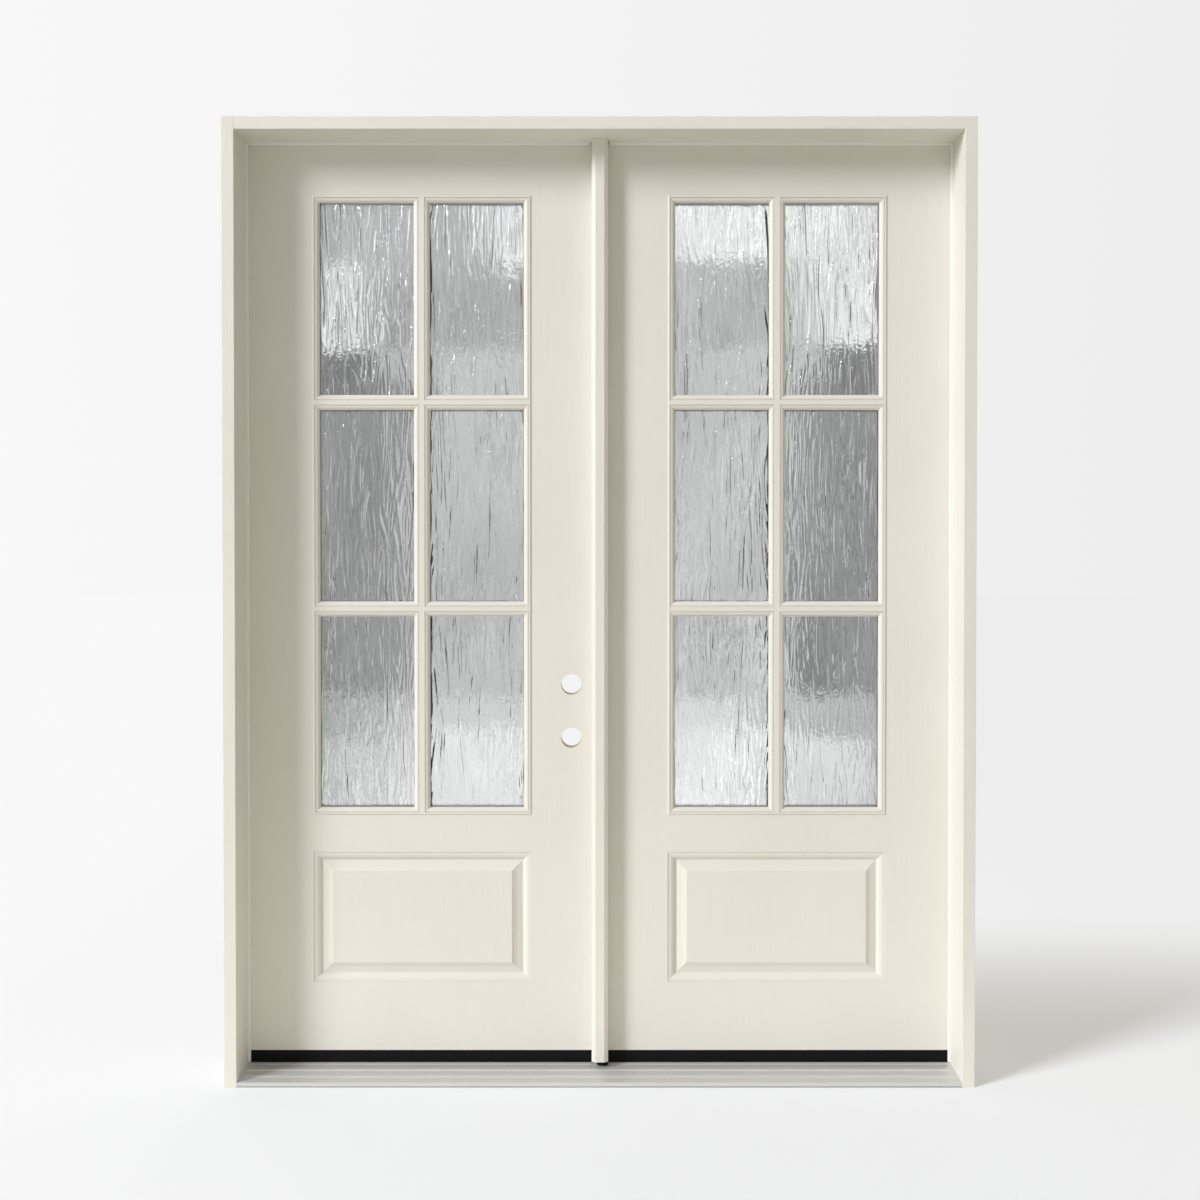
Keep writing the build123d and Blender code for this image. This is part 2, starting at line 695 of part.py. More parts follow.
# Exterior lite frame: border and bars moulded in one, a bead round each lite, a leg round the glass
with BuildPart() as lite_exterior:
    glazing_block(
        daylight_width + 2 * lite_border,
        daylight_height + 2 * lite_border,
        (lite_face_y, leaf_face_y),
    )
    fillet(faces().sort_by(Axis.Y)[0].edges(), radius=lite_outer_round)
    leg_width = cutout_width - 2 * lite_leg_clearance
    leg_height = cutout_height - 2 * lite_leg_clearance
    glazing_block(leg_width, leg_height, (leaf_face_y, leaf_mid_y - lite_half_gap))
    glazing_block(
        glass_width + 2 * lite_leg_clearance,
        glass_height + 2 * lite_leg_clearance,
        (glass_front_y, leaf_mid_y),
        mode=Mode.SUBTRACT,
    )
    bead_start = bead_width - bead_step
    bead_mid_share = 0.40
    bead_depth_share = 0.30
    bead_mid = (
        bead_foot + (bead_start - bead_foot) * bead_mid_share,
        bead_shoulder + (bead_drop - bead_shoulder) * bead_depth_share,
    )
    for column in range(lite_columns):
        for row in range(lite_rows):
            lite_start_x = -lite_centre_x - daylight_width / 2 + lite_width / 2
            lite_x = lite_start_x + column * (lite_width + bar_width)
            lite_z = lite_bottom + lite_height / 2 + row * (lite_height + cross_bar_width)
            lite_x_limits = around(lite_x, lite_width)
            lite_z_limits = around(lite_z, lite_height)
            block(lite_x_limits, (lite_face_y, glass_front_y), lite_z_limits, mode=Mode.SUBTRACT)
            with BuildSketch(ring_section(lite_x, lite_face_y, lite_z, lite_height)) as bead_section:
                with BuildLine():
                    Polyline(
                        (0, bead_drop),
                        (0, 0),
                        (bead_width, 0),
                        (bead_width, bead_quirk),
                        (bead_start, bead_quirk),
                        (bead_start, bead_shoulder),
                    )
                    ThreePointArc((bead_start, bead_shoulder), bead_mid, (bead_foot, bead_drop))
                    Line((bead_foot, bead_drop), (0, bead_drop))
                make_face()
            lite_path = ring_path(lite_x, lite_face_y, lite_z, lite_width, lite_height)
            sweep(bead_section.sketch, path=lite_path, transition=Transition.RIGHT, mode=Mode.SUBTRACT)

# Insulated glass: two panes and the spacer between them
with BuildPart() as glass_exterior:
    glazing_block(glass_width, glass_height, (glass_front_y, glass_front_y + glass_thickness))
with BuildPart() as glass_interior:
    glazing_block(glass_width, glass_height, (glass_back_y - glass_thickness, glass_back_y))
with BuildPart() as glazing_spacer:
    spacer_y = (glass_front_y + glass_thickness, glass_back_y - glass_thickness)
    spacer_outer = 2 * spacer_inset
    spacer_inner = 2 * (spacer_inset + spacer_width)
    glazing_block(glass_width - spacer_outer, glass_height - spacer_outer, spacer_y)
    glazing_block(glass_width - spacer_inner, glass_height - spacer_inner, spacer_y, mode=Mode.SUBTRACT)

# Bottom sweep: a web under the leaf with fins down to the sill cap
with BuildPart() as sweep_strip:
    block(leaf_x, (leaf_face_y, back_y), (leaf_bottom - sweep_web, leaf_bottom))
    fin_pitch = (leaf_thickness - sweep_wall) / (sweep_fin_count - 1)
    for fin in range(sweep_fin_count):
        fin_y = leaf_face_y + fin * fin_pitch
        block(leaf_x, (fin_y, fin_y + sweep_wall), (sweep_bottom, leaf_bottom - sweep_web))
    line_z = sweep_bottom + sweep_line_height
    line_y = (leaf_face_y, leaf_face_y + sweep_line_depth)
    block(leaf_x, line_y, (line_z, line_z + sweep_line_width), mode=Mode.SUBTRACT)

leaf_pieces = {
    "skin_exterior": skin_exterior.part,
    "skin_interior": skin_interior.part,
    "hinge_stile": hinge_stile.part,
    "lock_stile": lock_stile.part,
    "top_rail": top_rail.part,
    "bottom_rail": bottom_rail.part,
    "core": core.part,
    "lite_exterior": lite_exterior.part,
    "lite_interior": mirror(lite_exterior.part, about=leaf_mid_plane),
    "glass_exterior": glass_exterior.part,
    "glass_interior": glass_interior.part,
    "glazing_spacer": glazing_spacer.part,
    "sweep": sweep_strip.part,
}

# Lock block and lock bores of the active leaf
lock_mid_z = bore_low + bore_spacing / 2
with BuildPart() as lock_block:
    block((core_x[1] - lock_block_width, core_x[1]), stile_y, around(lock_mid_z, lock_block_height))
with BuildPart() as lock_bores:
    for bore_z in bore_heights:
        with Locations(Location((-bore_x, leaf_mid_y, bore_z), (90, 0, 0))):
            Cylinder(bore_radius, leaf_thickness)
        with Locations(Location((-leaf_lock_x - backset / 2, leaf_mid_y, bore_z), (0, 90, 0))):
            Cylinder(latch_radius, backset)

# Write both leaves: the passive one mirrored, the active one with its lock prepared
bored_pieces = ["skin_exterior", "skin_interior", "lock_stile"]
for piece_name, piece in leaf_pieces.items():
    save(mirrored(piece), "passive_" + piece_name)
    if piece_name in bored_pieces:
        with BuildPart() as bored:
            add(piece)
            add(lock_bores.part, mode=Mode.SUBTRACT)
        save(bored.part, "active_" + piece_name)
    elif piece_name == "core":
        with BuildPart() as active_core:
            add(piece)
            add(lock_block.part, mode=Mode.SUBTRACT)
        save(active_core.part, "active_core")
    else:
        save(piece, "active_" + piece_name)
with BuildPart() as bored_block:
    add(lock_block.part)
    add(lock_bores.part, mode=Mode.SUBTRACT)
save(bored_block.part, "active_lock_block")


# Rod and thumb slide of one bolt, from its inner end to its tip
def bolt(inner_z, tip_z, thumb_z, mode=Mode.ADD, spare=0, slot=0):
    low = min(inner_z, tip_z)
    high = max(inner_z, tip_z)
    with Locations((bolt_x, bolt_y, (low + high) / 2)):
        Cylinder(bolt_radius + spare, high - low, mode=mode)
    thumb_side = -stem_left + (thumb_recess if slot == 0 else 0)
    slot_y = around(bolt_y, thumb_width + 2 * slot)
    block((thumb_side, bolt_x), slot_y, thumb_z, mode)


# Where each bolt starts, ends and carries its thumb slide
top_tip = leaf_top - bolt_rest_gap
top_inner = top_tip - bolt_length
bottom_tip = astragal_foot + bolt_rest_gap
bottom_inner = bottom_tip + bolt_length
top_thumb = (top_inner + thumb_height, top_inner + 2 * thumb_height)
bottom_thumb = (bottom_inner - 2 * thumb_height, bottom_inner - thumb_height)
top_slot = (top_thumb[0] - thumb_clearance, top_thumb[1] + bolt_travel + thumb_clearance)
bottom_slot = (bottom_thumb[0] - bolt_travel - thumb_clearance, bottom_thumb[1] + thumb_clearance)
astragal_screw_low = bottom_inner + astragal_screw_inset
astragal_screw_pitch = (top_inner - astragal_screw_inset - astragal_screw_low) / (astragal_screw_count - 1)
astragal_screw_heights = []
for index in range(astragal_screw_count):
    astragal_screw_heights.append(astragal_screw_low + index * astragal_screw_pitch)

# Astragal: bevelled flange on the passive leaf, with a stem in the meeting gap that holds both bolts
with BuildPart() as astragal:
    flange_outline = [
        (-astragal_left, astragal_front_y),
        (astragal_right - astragal_bevel, astragal_front_y),
        (astragal_right, astragal_front_y + astragal_bevel_depth),
        (astragal_right, leaf_face_y),
        (-astragal_left, leaf_face_y),
    ]
    upright(flange_outline, flange_foot, astragal_top)
    block((-stem_left, leaf_lock_x), (leaf_face_y, back_y - stem_setback), (astragal_foot, leaf_top))
    top_bore_z = top_inner - bolt_rest_gap
    bottom_bore_z = bottom_inner + bolt_rest_gap
    bolt(top_bore_z, leaf_top, top_slot, Mode.SUBTRACT, bolt_clearance, thumb_clearance)
    bolt(bottom_bore_z, astragal_foot, bottom_slot, Mode.SUBTRACT, bolt_clearance, thumb_clearance)
    for bore_z in bore_heights:
        pocket_y = around(leaf_mid_y, strike_pocket_width)
        pocket_x = (-stem_left, -stem_left + strike_pocket_depth)
        block(pocket_x, pocket_y, around(bore_z, strike_pocket_height), mode=Mode.SUBTRACT)
    for screw_z in astragal_screw_heights:
        flat_screw(
            (-stem_left, leaf_mid_y, screw_z),
            (1, 0, 0),
            astragal_screw_head_radius + screw_clearance,
            astragal_screw_head_height + screw_clearance,
            astragal_screw_radius + screw_clearance,
            astragal_screw_length,
            Mode.SUBTRACT,
        )
save(astragal.part, "astragal")

# Soft seal: the lapping edge of the astragal, bevelled like its other edge
with BuildPart() as astragal_seal:
    seal_outline = [
        (-astragal_left, astragal_front_y),
        (-seal_left + astragal_bevel, astragal_front_y),
        (-seal_left, astragal_front_y + astragal_bevel_depth),
        (-seal_left, leaf_face_y - seal_clearance),
        (-astragal_left, leaf_face_y - seal_clearance),
    ]
    upright(seal_outline, flange_foot, astragal_top)
save(astragal_seal.part, "astragal_seal")

# Rubber boot under the foot of the astragal
with BuildPart() as astragal_boot:
    boot_x = (-astragal_left, astragal_right)
    boot_y = (astragal_front_y + boot_setback, leaf_face_y)
    block(boot_x, boot_y, (cap_height + boot_clearance, flange_foot))
    front_corners = edges().filter_by(Axis.Z).group_by(Axis.Y)[0]
    fillet(front_corners, radius=boot_round)
save(astragal_boot.part, "astragal_boot")

# Bolts in the stem
with BuildPart() as top_bolt:
    bolt(top_inner, top_tip, top_thumb)
    chamfer(faces().sort_by(Axis.Z)[-1].edges(), length=bolt_tip_chamfer)
save(top_bolt.part, "top_bolt")
with BuildPart() as bottom_bolt:
    bolt(bottom_inner, bottom_tip, bottom_thumb)
    chamfer(faces().sort_by(Axis.Z)[0].edges(), length=bolt_tip_chamfer)
save(bottom_bolt.part, "bottom_bolt")

# Screws that hold the astragal to the edge of the passive leaf
with BuildPart() as astragal_screws:
    for screw_z in astragal_screw_heights:
        flat_screw(
            (-stem_left, leaf_mid_y, screw_z),
            (1, 0, 0),
            astragal_screw_head_radius,
            astragal_screw_head_height,
            astragal_screw_radius,
            astragal_screw_length,
        )
save(group(astragal_screws.part.solids()), "astragal_screws")
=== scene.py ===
import math
import bpy
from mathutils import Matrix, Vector

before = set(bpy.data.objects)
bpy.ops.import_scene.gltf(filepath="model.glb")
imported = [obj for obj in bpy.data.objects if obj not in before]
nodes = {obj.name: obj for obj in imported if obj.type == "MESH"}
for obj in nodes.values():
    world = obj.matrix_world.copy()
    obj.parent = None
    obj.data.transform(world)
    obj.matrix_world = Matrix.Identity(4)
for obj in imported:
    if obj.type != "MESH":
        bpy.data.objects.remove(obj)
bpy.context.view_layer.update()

# Camera, in metres, degrees and pixels of a 1200 pixel square image
image_size = 1200
camera_place = (0.0017, -3.4862, 1.389)
camera_pitch = 0.685
camera_focal_pixels = 1347.5
camera_shift_pixels = (0.0, -43.6)
sensor_width = 36.0
right_angle = 90.0

# Key lamp at the upper left, in front
key_place = (-16.4, -11.0, 11.5)
key_aim = (0.0, 0.0, 1.3)
key_width = 6.5
key_height = 10.0
key_power = 4860.0
key_colour = (0.93, 0.948, 1.0)

# Soft fill from all round, which grows to the right, to the back and upwards
fill_colour = (1.0, 0.96, 0.84)
fill_left = 0.12
fill_right = 0.33
fill_side_reach = 1.0
fill_behind = 0.55
fill_behind_start = 0.1
fill_behind_end = 0.9
fill_above = 0.41
fill_above_end = 1.0

# Backdrop, which runs from one brightness at the left to another at the right
backdrop_colour = (1.0, 1.0, 1.0)
backdrop_left = 0.94
backdrop_right = 0.85
backdrop_reach = 0.4
backdrop_floor_reach = 2.0

# Floor, which keeps the shadow near the object and fades into the backdrop
floor_size = 60.0
floor_colour = (0.84, 0.855, 0.90)
floor_roughness = 0.9
floor_lift = 0.02
fade_centre = 1.2
fade_side_share = 0.35
fade_start = 0.25
fade_end = 1.55
fade_start_share = 0.08

# Light that the floor sends back to the object, which dies away from it
bounce_floor = (0.58, 0.57, 0.54)
bounce_colour = (1.0, 0.97, 0.88)
bounce_strength = 0.52
bounce_start = 0.9
bounce_end = 2.2

# Painted reflections: glowing panels of light and dark that only show through the glass and stand in for
# the room that the glass reflects, as left, right, low, high and brightness
glass_y = 0.05
panel_y = 0.60
panel_step = 0.002
painted_reflection_panels = [
    (-0.95, 0.95, 0.50, 2.40, 0.52),
    (-0.95, 0.95, 1.89, 2.40, 0.44),
    (-0.80, -0.51, 0.90, 1.81, 0.23),
    (0.51, 0.80, 0.90, 1.81, 0.22),
    (-0.51, 0.51, 0.90, 0.975, 0.66),
    (-0.51, 0.51, 0.50, 0.90, 0.84),
    (-0.95, -0.51, 0.87, 0.985, 0.42),
    (-0.95, -0.51, 0.50, 0.87, 0.64),
    (0.51, 0.95, 0.87, 0.985, 0.44),
    (0.51, 0.95, 0.50, 0.87, 0.65),
    (-0.80, -0.63, 1.89, 2.11, 0.95),
    (-0.80, -0.58, 1.74, 1.885, 0.15),
    (-0.29, -0.15, 2.10, 2.40, 0.90),
    (0.12, 0.47, 2.12, 2.40, 0.94),
    (0.50, 0.80, 1.90, 2.40, 0.86),
    (0.59, 0.80, 1.74, 1.895, 0.15),
]

# Upright streaks in the brightness of the painted reflection panels
stripe_scale = (13.0, 1.5, 1.0)
stripe_detail = 2.0
stripe_wander = 0.6
stripe_share = 0.55
stripe_low_share = 0.25
stripe_high_share = 0.75

# A whole share, a plane's size before it is scaled, and a scale that changes nothing
full_share = 1.0
unit_size = 1.0
unit_scale = 1.0

# Where a colour ramp starts and ends on its noise
ramp_low_share = 0.35
ramp_high_share = 0.65

# Satin paint, with faint timber grain, soft clouds of colour and a fine peel
paint_light = (0.747, 0.724, 0.660)
paint_dark = (0.727, 0.702, 0.637)
paint_roughness = (0.40, 0.55)
paint_shine = 0.35
grain_across = 150.0
grain_along = 4.0
grain_detail = 5.0
grain_wander = 0.4
grain_depth = 0.0008
grain_strength = 0.65
lite_grain_strength = 0.10
cloud_scale = (3.0, 3.0, 2.0)
cloud_detail = 3.0
peel_scale = (700.0, 700.0, 700.0)
peel_detail = 2.0
peel_depth = 0.0002
peel_strength = 0.12

# Glass: wavy streaks and ripples on the outer pane, a faint draw on the inner one
glass_tint = (0.94, 0.945, 0.947)
glass_index = 1.5
outer_roughness = 0.012
inner_roughness = 0.01
rain_scale = (36.0, 36.0, 4.5)
rain_detail = 1.0
rain_wander = 2.0
rain_depth = 0.0085
rain_strength = 1.0
ripple_scale = (130.0, 130.0, 90.0)
ripple_detail = 2.0
ripple_wander = 0.5
ripple_depth = 0.0012
ripple_strength = 1.0
draw_scale = (6.0, 6.0, 2.0)
draw_detail = 1.0
draw_depth = 0.0004
draw_strength = 0.5

# Soft finishes: darker and lighter colour, roughness, scale and depth of the specks, shine
speck_detail = 4.0
speck_strength = 0.3
speck_roughness_swing = 0.08
soft_finishes = {
    "seal": (paint_dark, paint_light, 0.55, 260.0, 0.0002, 0.50),
    "strip": ((0.80, 0.79, 0.76), (0.84, 0.83, 0.80), 0.70, 420.0, 0.0003, 0.50),
    "black": ((0.004, 0.004, 0.004), (0.008, 0.008, 0.008), 0.60, 350.0, 0.0002, 0.10),
    "composite": ((0.20, 0.19, 0.17), (0.26, 0.25, 0.23), 0.70, 180.0, 0.0003, 0.50),
    "foam": ((0.70, 0.62, 0.40), (0.78, 0.72, 0.52), 0.85, 300.0, 0.0005, 0.50),
}

# Drawn metals: darker and lighter colour, axis of the lines, range of roughness, share of metal
line_across = 900.0
line_along = 8.0
line_detail = 4.0
line_depth = 0.0001
line_strength = 0.2
metal_finishes = {
    "sill_metal": ((0.60, 0.60, 0.59), (0.66, 0.66, 0.65), "X", (0.38, 0.48), 0.45),
    "steel": ((0.50, 0.49, 0.47), (0.62, 0.61, 0.59), "Z", (0.25, 0.38), 1.0),
    "spacer": ((0.55, 0.56, 0.57), (0.65, 0.66, 0.67), "Z", (0.35, 0.45), 1.0),
}

# Bare timber
timber_dark = (0.50, 0.41, 0.29)
timber_light = (0.66, 0.57, 0.44)
timber_roughness = (0.55, 0.75)
timber_across = 120.0
timber_along = 3.0
timber_detail = 6.0
timber_wander = 1.2
timber_depth = 0.0005
timber_strength = 0.25


# A colour with full cover
def solid(colour):
    return (*colour, full_share)


# One scale for each axis: one value across, another along the named axis
def scale_along(axis, across, along):
    scale = {"X": across, "Y": across, "Z": across}
    scale[axis] = along
    return tuple(scale.values())


# A new node with some of its inputs set
def add_node(tree, kind, **inputs):
    node = tree.nodes.new(kind)
    for name, value in inputs.items():
        node.inputs[name.replace("_", " ")].default_value = value
    return node


# A material, its node tree and its main shader
def start_material(name):
    material = bpy.data.materials.new(name)
    material.use_nodes = True
    tree = material.node_tree
    return material, tree, tree.nodes["Principled BSDF"]


# A noise on the object's own coordinates, with a scale along each axis
def stretched_noise(tree, scale, detail, wander=0.0):
    place = add_node(tree, "ShaderNodeTexCoord")
    mapping = add_node(tree, "ShaderNodeMapping", Scale=scale)
    noise = add_node(tree, "ShaderNodeTexNoise", Scale=unit_scale, Detail=detail, Distortion=wander)
    tree.links.new(place.outputs["Object"], mapping.inputs["Vector"])
    tree.links.new(mapping.outputs["Vector"], noise.inputs["Vector"])
    return noise


# Base colour between two colours, by a noise
def colour_by(tree, noise, shader, dark, light):
    ramp = add_node(tree, "ShaderNodeValToRGB")
    first, last = ramp.color_ramp.elements
    first.position = ramp_low_share
    last.position = ramp_high_share
    first.color = solid(dark)
    last.color = solid(light)
    tree.links.new(noise.outputs["Fac"], ramp.inputs["Fac"])
    tree.links.new(ramp.outputs["Color"], shader.inputs["Base Color"])


# Roughness between two values, by a noise
def roughness_by(tree, noise, shader, low, high):
    spread = add_node(tree, "ShaderNodeMapRange", To_Min=low, To_Max=high)
    tree.links.new(noise.outputs["Fac"], spread.inputs["Value"])
    tree.links.new(spread.outputs["Result"], shader.inputs["Roughness"])


# Bumps by one or more noises, each laid over the one before, as noise, strength and depth
def bumps_by(tree, shader, *layers):
    normal = None
    for noise, strength, depth in layers:
        bump = add_node(tree, "ShaderNodeBump", Strength=strength, Distance=depth)
        tree.links.new(noise.outputs["Fac"], bump.inputs["Height"])
        if normal is not None:
            tree.links.new(normal, bump.inputs["Normal"])
        normal = bump.outputs["Normal"]
    tree.links.new(normal, shader.inputs["Normal"])


# Satin paint with grain along one axis
def paint(name, axis, strength):
    material, tree, shader = start_material(name)
    grain_scale = scale_along(axis, grain_across, grain_along)
    grain = stretched_noise(tree, grain_scale, grain_detail, grain_wander)
    cloud = stretched_noise(tree, cloud_scale, cloud_detail)
    peel = stretched_noise(tree, peel_scale, peel_detail)
    colour_by(tree, cloud, shader, paint_dark, paint_light)
    roughness_by(tree, grain, shader, *paint_roughness)
    bumps_by(tree, shader, (grain, strength, grain_depth), (peel, peel_strength, peel_depth))
    shader.inputs["Specular IOR Level"].default_value = paint_shine
    return material


# Makes a shader into glass
def glaze(shader, roughness):
    shader.inputs["Base Color"].default_value = solid(glass_tint)
    shader.inputs["Transmission Weight"].default_value = full_share
    shader.inputs["Roughness"].default_value = roughness
    shader.inputs["IOR"].default_value = glass_index


# Outer glass with wavy upright streaks
def rain_glass(name):
    material, tree, shader = start_material(name)
    streaks = stretched_noise(tree, rain_scale, rain_detail, rain_wander)
    ripples = stretched_noise(tree, ripple_scale, ripple_detail, ripple_wander)
    streak_layer = (streaks, rain_strength, rain_depth)
    ripple_layer = (ripples, ripple_strength, ripple_depth)
    bumps_by(tree, shader, streak_layer, ripple_layer)
    glaze(shader, outer_roughness)
    return material


# Inner glass with a faint draw
def clear_glass(name):
    material, tree, shader = start_material(name)
    draw = stretched_noise(tree, draw_scale, draw_detail)
    bumps_by(tree, shader, (draw, draw_strength, draw_depth))
    glaze(shader, inner_roughness)
    return material


# Matt rubber, foam or plastic with a fine broken surface
def soft_matt(name, dark, light, roughness, scale, depth, shine):
    material, tree, shader = start_material(name)
    specks = stretched_noise(tree, (scale, scale, scale), speck_detail)
    colour_by(tree, specks, shader, dark, light)
    roughness_by(tree, specks, shader, roughness - speck_roughness_swing, roughness + speck_roughness_swing)
    bumps_by(tree, shader, (specks, speck_strength, depth))
    shader.inputs["Specular IOR Level"].default_value = shine
    return material


# Metal with fine drawn lines along one axis
def drawn_metal(name, dark, light, axis, roughness, metal_share):
    material, tree, shader = start_material(name)
    lines = stretched_noise(tree, scale_along(axis, line_across, line_along), line_detail)
    colour_by(tree, lines, shader, dark, light)
    roughness_by(tree, lines, shader, *roughness)
    bumps_by(tree, shader, (lines, line_strength, line_depth))
    shader.inputs["Metallic"].default_value = metal_share
    return material


# Bare timber with grain along one axis
def timber(name, axis):
    material, tree, shader = start_material(name)
    timber_scale = scale_along(axis, timber_across, timber_along)
    grain = stretched_noise(tree, timber_scale, timber_detail, timber_wander)
    colour_by(tree, grain, shader, timber_dark, timber_light)
    roughness_by(tree, grain, shader, *timber_roughness)
    bumps_by(tree, shader, (grain, timber_strength, timber_depth))
    return material


# Every finish by its name
def make_finishes():
    made = {
        "upright_paint": paint("upright_paint", "Z", grain_strength),
        "level_paint": paint("level_paint", "X", grain_strength),
        "lite_paint": paint("lite_paint", "Z", lite_grain_strength),
        "glass_outer": rain_glass("glass_outer"),
        "glass_inner": clear_glass("glass_inner"),
        "upright_timber": timber("upright_timber", "Z"),
        "level_timber": timber("level_timber", "X"),
    }
    for name, values in soft_finishes.items():
        made[name] = soft_matt(name, *values)
    for name, values in metal_finishes.items():
        made[name] = drawn_metal(name, *values)
    return made


# Which finish a node takes
def finish_of(name):
    if name == "head_jamb":
        return "level_paint"
    if name.startswith("jamb_") or "skin_" in name or name == "astragal":
        return "upright_paint"
    if "_lite_" in name:
        return "lite_paint"
    if name == "astragal_seal":
        return "seal"
    if name.startswith("weatherstrip"):
        return "strip"
    # The boot's black is its rubber, and part of it is painted shade under the astragal's foot
    if name in ("astragal_boot", "sill_cap") or name.endswith("_sweep"):
        return "black"
    if name.endswith("glass_exterior"):
        return "glass_outer"
    if name.endswith("glass_interior"):
        return "glass_inner"
    if name == "sill_deck":
        return "sill_metal"
    if name == "sill_base":
        return "composite"
    if name.endswith("_core"):
        return "foam"
    if name.endswith("glazing_spacer"):
        return "spacer"
    if "stile" in name or "lock_block" in name:
        return "upright_timber"
    if "rail" in name:
        return "level_timber"
    return "steel"


# A switch that is on for rays that come from the camera, from gloss or through glass
def seen_rays(tree):
    rays = add_node(tree, "ShaderNodeLightPath")
    seen = rays.outputs["Is Camera Ray"]
    for kind in ("Is Glossy Ray", "Is Transmission Ray"):
        either = add_node(tree, "ShaderNodeMath")
        either.operation = "MAXIMUM"
        tree.links.new(seen, either.inputs[0])
        tree.links.new(rays.outputs[kind], either.inputs[1])
        seen = either.outputs["Value"]
    return seen


# A value that runs from low to high between two places on one axis of a vector
def run_along(tree, vector, axis, start, end, low, high):
    split = add_node(tree, "ShaderNodeSeparateXYZ")
    spread = add_node(tree, "ShaderNodeMapRange", From_Min=start, From_Max=end, To_Min=low, To_Max=high)
    tree.links.new(vector, split.inputs["Vector"])
    tree.links.new(split.outputs[axis], spread.inputs["Value"])
    return spread.outputs["Result"]


# The length of a vector
def length_of(tree, vector):
    length = add_node(tree, "ShaderNodeVectorMath")
    length.operation = "LENGTH"
    tree.links.new(vector, length.inputs[0])
    return length.outputs["Value"]


# Floor as it is seen: a lit plane whose shadow fades into the backdrop
def seen_floor(tree, place, lit):
    lift = add_node(tree, "ShaderNodeEmission", Strength=floor_lift)
    lifted = add_node(tree, "ShaderNodeAddShader")
    glow = add_node(tree, "ShaderNodeEmission", Color=solid(backdrop_colour))
    faded = add_node(tree, "ShaderNodeMixShader")
    stretch = add_node(tree, "ShaderNodeMapping")
    stretch.inputs["Scale"].default_value = (fade_side_share, full_share, full_share)
    stretch.inputs["Location"].default_value = (-fade_centre * fade_side_share, 0.0, 0.0)
    fade = add_node(tree, "ShaderNodeMapRange", From_Min=fade_start, From_Max=fade_end)
    fade.inputs["To Min"].default_value = fade_start_share
    fade.interpolation_type = "SMOOTHSTEP"
    limits = (-backdrop_floor_reach, backdrop_floor_reach, backdrop_left, backdrop_right)
    tree.links.new(lit.outputs["BSDF"], lifted.inputs[0])
    tree.links.new(lift.outputs["Emission"], lifted.inputs[1])
    tree.links.new(run_along(tree, place, "X", *limits), glow.inputs["Strength"])
    tree.links.new(place, stretch.inputs["Vector"])
    tree.links.new(length_of(tree, stretch.outputs["Vector"]), fade.inputs["Value"])
    tree.links.new(fade.outputs["Result"], faded.inputs["Fac"])
    tree.links.new(lifted.outputs["Shader"], faded.inputs[1])
    tree.links.new(glow.outputs["Emission"], faded.inputs[2])
    return faded.outputs["Shader"]


# Floor as it lights the object: a dim plane with a warm glow near the middle
def lighting_floor(tree, place):
    dimmed = add_node(tree, "ShaderNodeBsdfDiffuse", Color=solid(bounce_floor))
    bounce = add_node(tree, "ShaderNodeEmission", Color=solid(bounce_colour))
    bounced = add_node(tree, "ShaderNodeAddShader")
    fade = add_node(tree, "ShaderNodeMapRange", From_Min=bounce_start, From_Max=bounce_end)
    fade.inputs["To Min"].default_value = bounce_strength
    fade.inputs["To Max"].default_value = 0.0
    tree.links.new(length_of(tree, place), fade.inputs["Value"])
    tree.links.new(fade.outputs["Result"], bounce.inputs["Strength"])
    tree.links.new(dimmed.outputs["BSDF"], bounced.inputs[0])
    tree.links.new(bounce.outputs["Emission"], bounced.inputs[1])
    return bounced.outputs["Shader"]


# Floor
def make_floor():
    bpy.ops.mesh.primitive_plane_add(size=floor_size, location=(0.0, 0.0, 0.0))
    floor = bpy.context.object
    floor.name = "floor"
    material, tree, lit = start_material("floor")
    lit.inputs["Base Color"].default_value = solid(floor_colour)
    lit.inputs["Roughness"].default_value = floor_roughness
    lit.inputs["Specular IOR Level"].default_value = 0.0
    place = add_node(tree, "ShaderNodeTexCoord").outputs["Object"]
    shown = add_node(tree, "ShaderNodeMixShader")
    tree.links.new(seen_rays(tree), shown.inputs["Fac"])
    tree.links.new(lighting_floor(tree, place), shown.inputs[1])
    tree.links.new(seen_floor(tree, place, lit), shown.inputs[2])
    tree.links.new(shown.outputs["Shader"], tree.nodes["Material Output"].inputs["Surface"])
    floor.data.materials.append(material)


# World: a soft fill for the object and a plain backdrop for the camera
def make_world():
    world = bpy.data.worlds.new("world")
    bpy.context.scene.world = world
    world.use_nodes = True
    tree = world.node_tree
    fill = tree.nodes["Background"]
    fill.inputs["Color"].default_value = solid(fill_colour)
    backdrop = add_node(tree, "ShaderNodeBackground", Color=solid(backdrop_colour))
    shown = add_node(tree, "ShaderNodeMixShader")
    way = add_node(tree, "ShaderNodeTexCoord").outputs["Object"]
    backdrop_limits = (-backdrop_reach, backdrop_reach, backdrop_left, backdrop_right)
    strength = run_along(tree, way, "X", -fill_side_reach, fill_side_reach, fill_left, fill_right)
    behind = run_along(tree, way, "Y", fill_behind_start, fill_behind_end, 0.0, fill_behind)
    above = run_along(tree, way, "Z", 0.0, fill_above_end, 0.0, fill_above)
    for more in (behind, above):
        added = add_node(tree, "ShaderNodeMath")
        tree.links.new(strength, added.inputs[0])
        tree.links.new(more, added.inputs[1])
        strength = added.outputs["Value"]
    tree.links.new(strength, fill.inputs["Strength"])
    tree.links.new(run_along(tree, way, "X", *backdrop_limits), backdrop.inputs["Strength"])
    tree.links.new(seen_rays(tree), shown.inputs["Fac"])
    tree.links.new(fill.outputs["Background"], shown.inputs[1])
    tree.links.new(backdrop.outputs["Background"], shown.inputs[2])
    tree.links.new(shown.outputs["Shader"], tree.nodes["World Output"].inputs["Surface"])
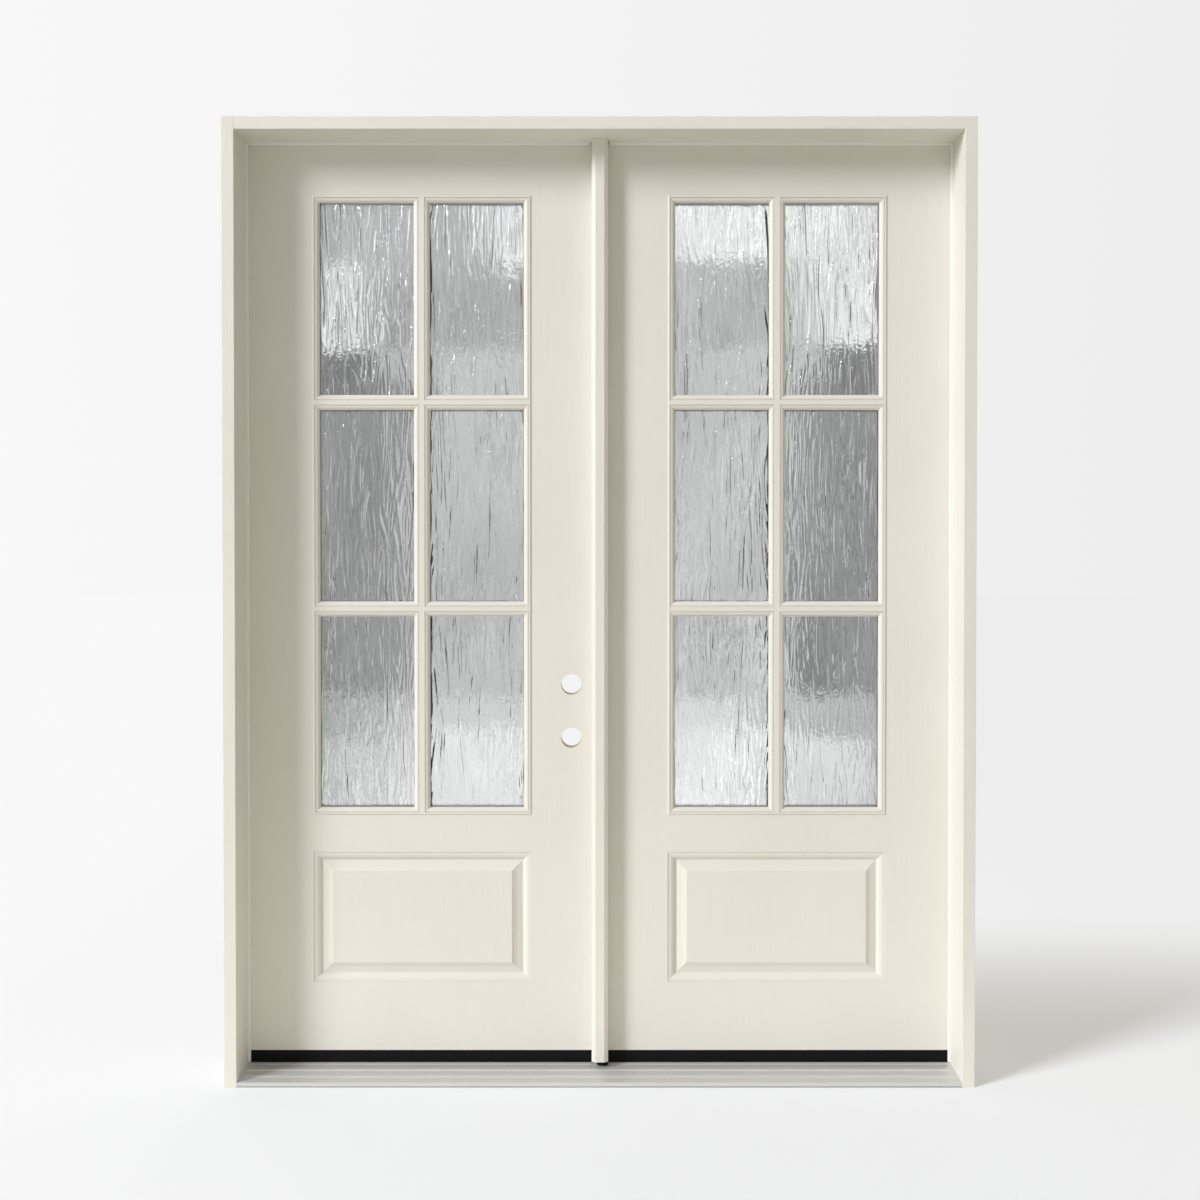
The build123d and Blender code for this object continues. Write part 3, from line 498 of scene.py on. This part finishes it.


# The streaky glow of one painted reflection panel
def painted_reflection_glow(name, brightness):
    material, tree, shader = start_material(name)
    tree.nodes.remove(shader)
    glow = add_node(tree, "ShaderNodeEmission")
    stripes = stretched_noise(tree, stripe_scale, stripe_detail, stripe_wander)
    spread = add_node(tree, "ShaderNodeMapRange", From_Min=stripe_low_share, From_Max=stripe_high_share)
    spread.inputs["To Min"].default_value = brightness * (full_share - stripe_share)
    spread.inputs["To Max"].default_value = brightness * (full_share + stripe_share)
    tree.links.new(stripes.outputs["Fac"], spread.inputs["Value"])
    tree.links.new(spread.outputs["Result"], glow.inputs["Strength"])
    tree.links.new(glow.outputs["Emission"], tree.nodes["Material Output"].inputs["Surface"])
    return material


# A flat glowing panel behind the doors, a painted reflection seen through the glass at the given edges, and
# seen no other way
def painted_reflection_panel(name, left, right, low, high, y, brightness):
    reach = (y - camera_place[1]) / (glass_y - camera_place[1])
    centre_x = camera_place[0] + ((left + right) / 2 - camera_place[0]) * reach
    centre_z = camera_place[2] + ((low + high) / 2 - camera_place[2]) * reach
    bpy.ops.mesh.primitive_plane_add(size=unit_size, location=(centre_x, y, centre_z))
    panel = bpy.context.object
    panel.name = name
    panel.rotation_euler = (math.radians(right_angle), 0.0, 0.0)
    panel.scale = ((right - left) * reach, (high - low) * reach, unit_scale)
    bpy.ops.object.transform_apply(location=False, rotation=False, scale=True)
    panel.data.materials.append(painted_reflection_glow(name, brightness))
    panel.visible_camera = False
    panel.visible_diffuse = False
    panel.visible_glossy = False
    panel.visible_shadow = False


# Key lamp
def make_key():
    data = bpy.data.lights.new("key", "AREA")
    data.shape = "ELLIPSE"
    data.size = key_width
    data.size_y = key_height
    data.energy = key_power
    data.color = key_colour
    key = bpy.data.objects.new("key", data)
    key.location = key_place
    aim = Vector(key_aim) - Vector(key_place)
    key.rotation_euler = aim.to_track_quat("-Z", "Y").to_euler()
    bpy.context.scene.collection.objects.link(key)


# Camera
def make_camera():
    shift_x, shift_y = camera_shift_pixels
    data = bpy.data.cameras.new("camera")
    data.sensor_fit = "HORIZONTAL"
    data.sensor_width = sensor_width
    data.lens = camera_focal_pixels / image_size * sensor_width
    data.shift_x = shift_x / image_size
    data.shift_y = shift_y / image_size
    camera = bpy.data.objects.new("camera", data)
    camera.location = camera_place
    camera.rotation_euler = (math.radians(right_angle - camera_pitch), 0.0, 0.0)
    bpy.context.scene.collection.objects.link(camera)
    bpy.context.scene.camera = camera


finishes = make_finishes()
for name, node in nodes.items():
    node.data.materials.clear()
    node.data.materials.append(finishes[finish_of(name)])

make_floor()
make_world()
# Painted reflections: the glowing panels that are seen through the glass
for number, (left, right, low, high, brightness) in enumerate(painted_reflection_panels):
    painted_reflection_panel(f"panel_{number}", left, right, low, high, panel_y - number * panel_step, brightness)
make_key()
make_camera()
bpy.context.scene.view_settings.view_transform = "Standard"
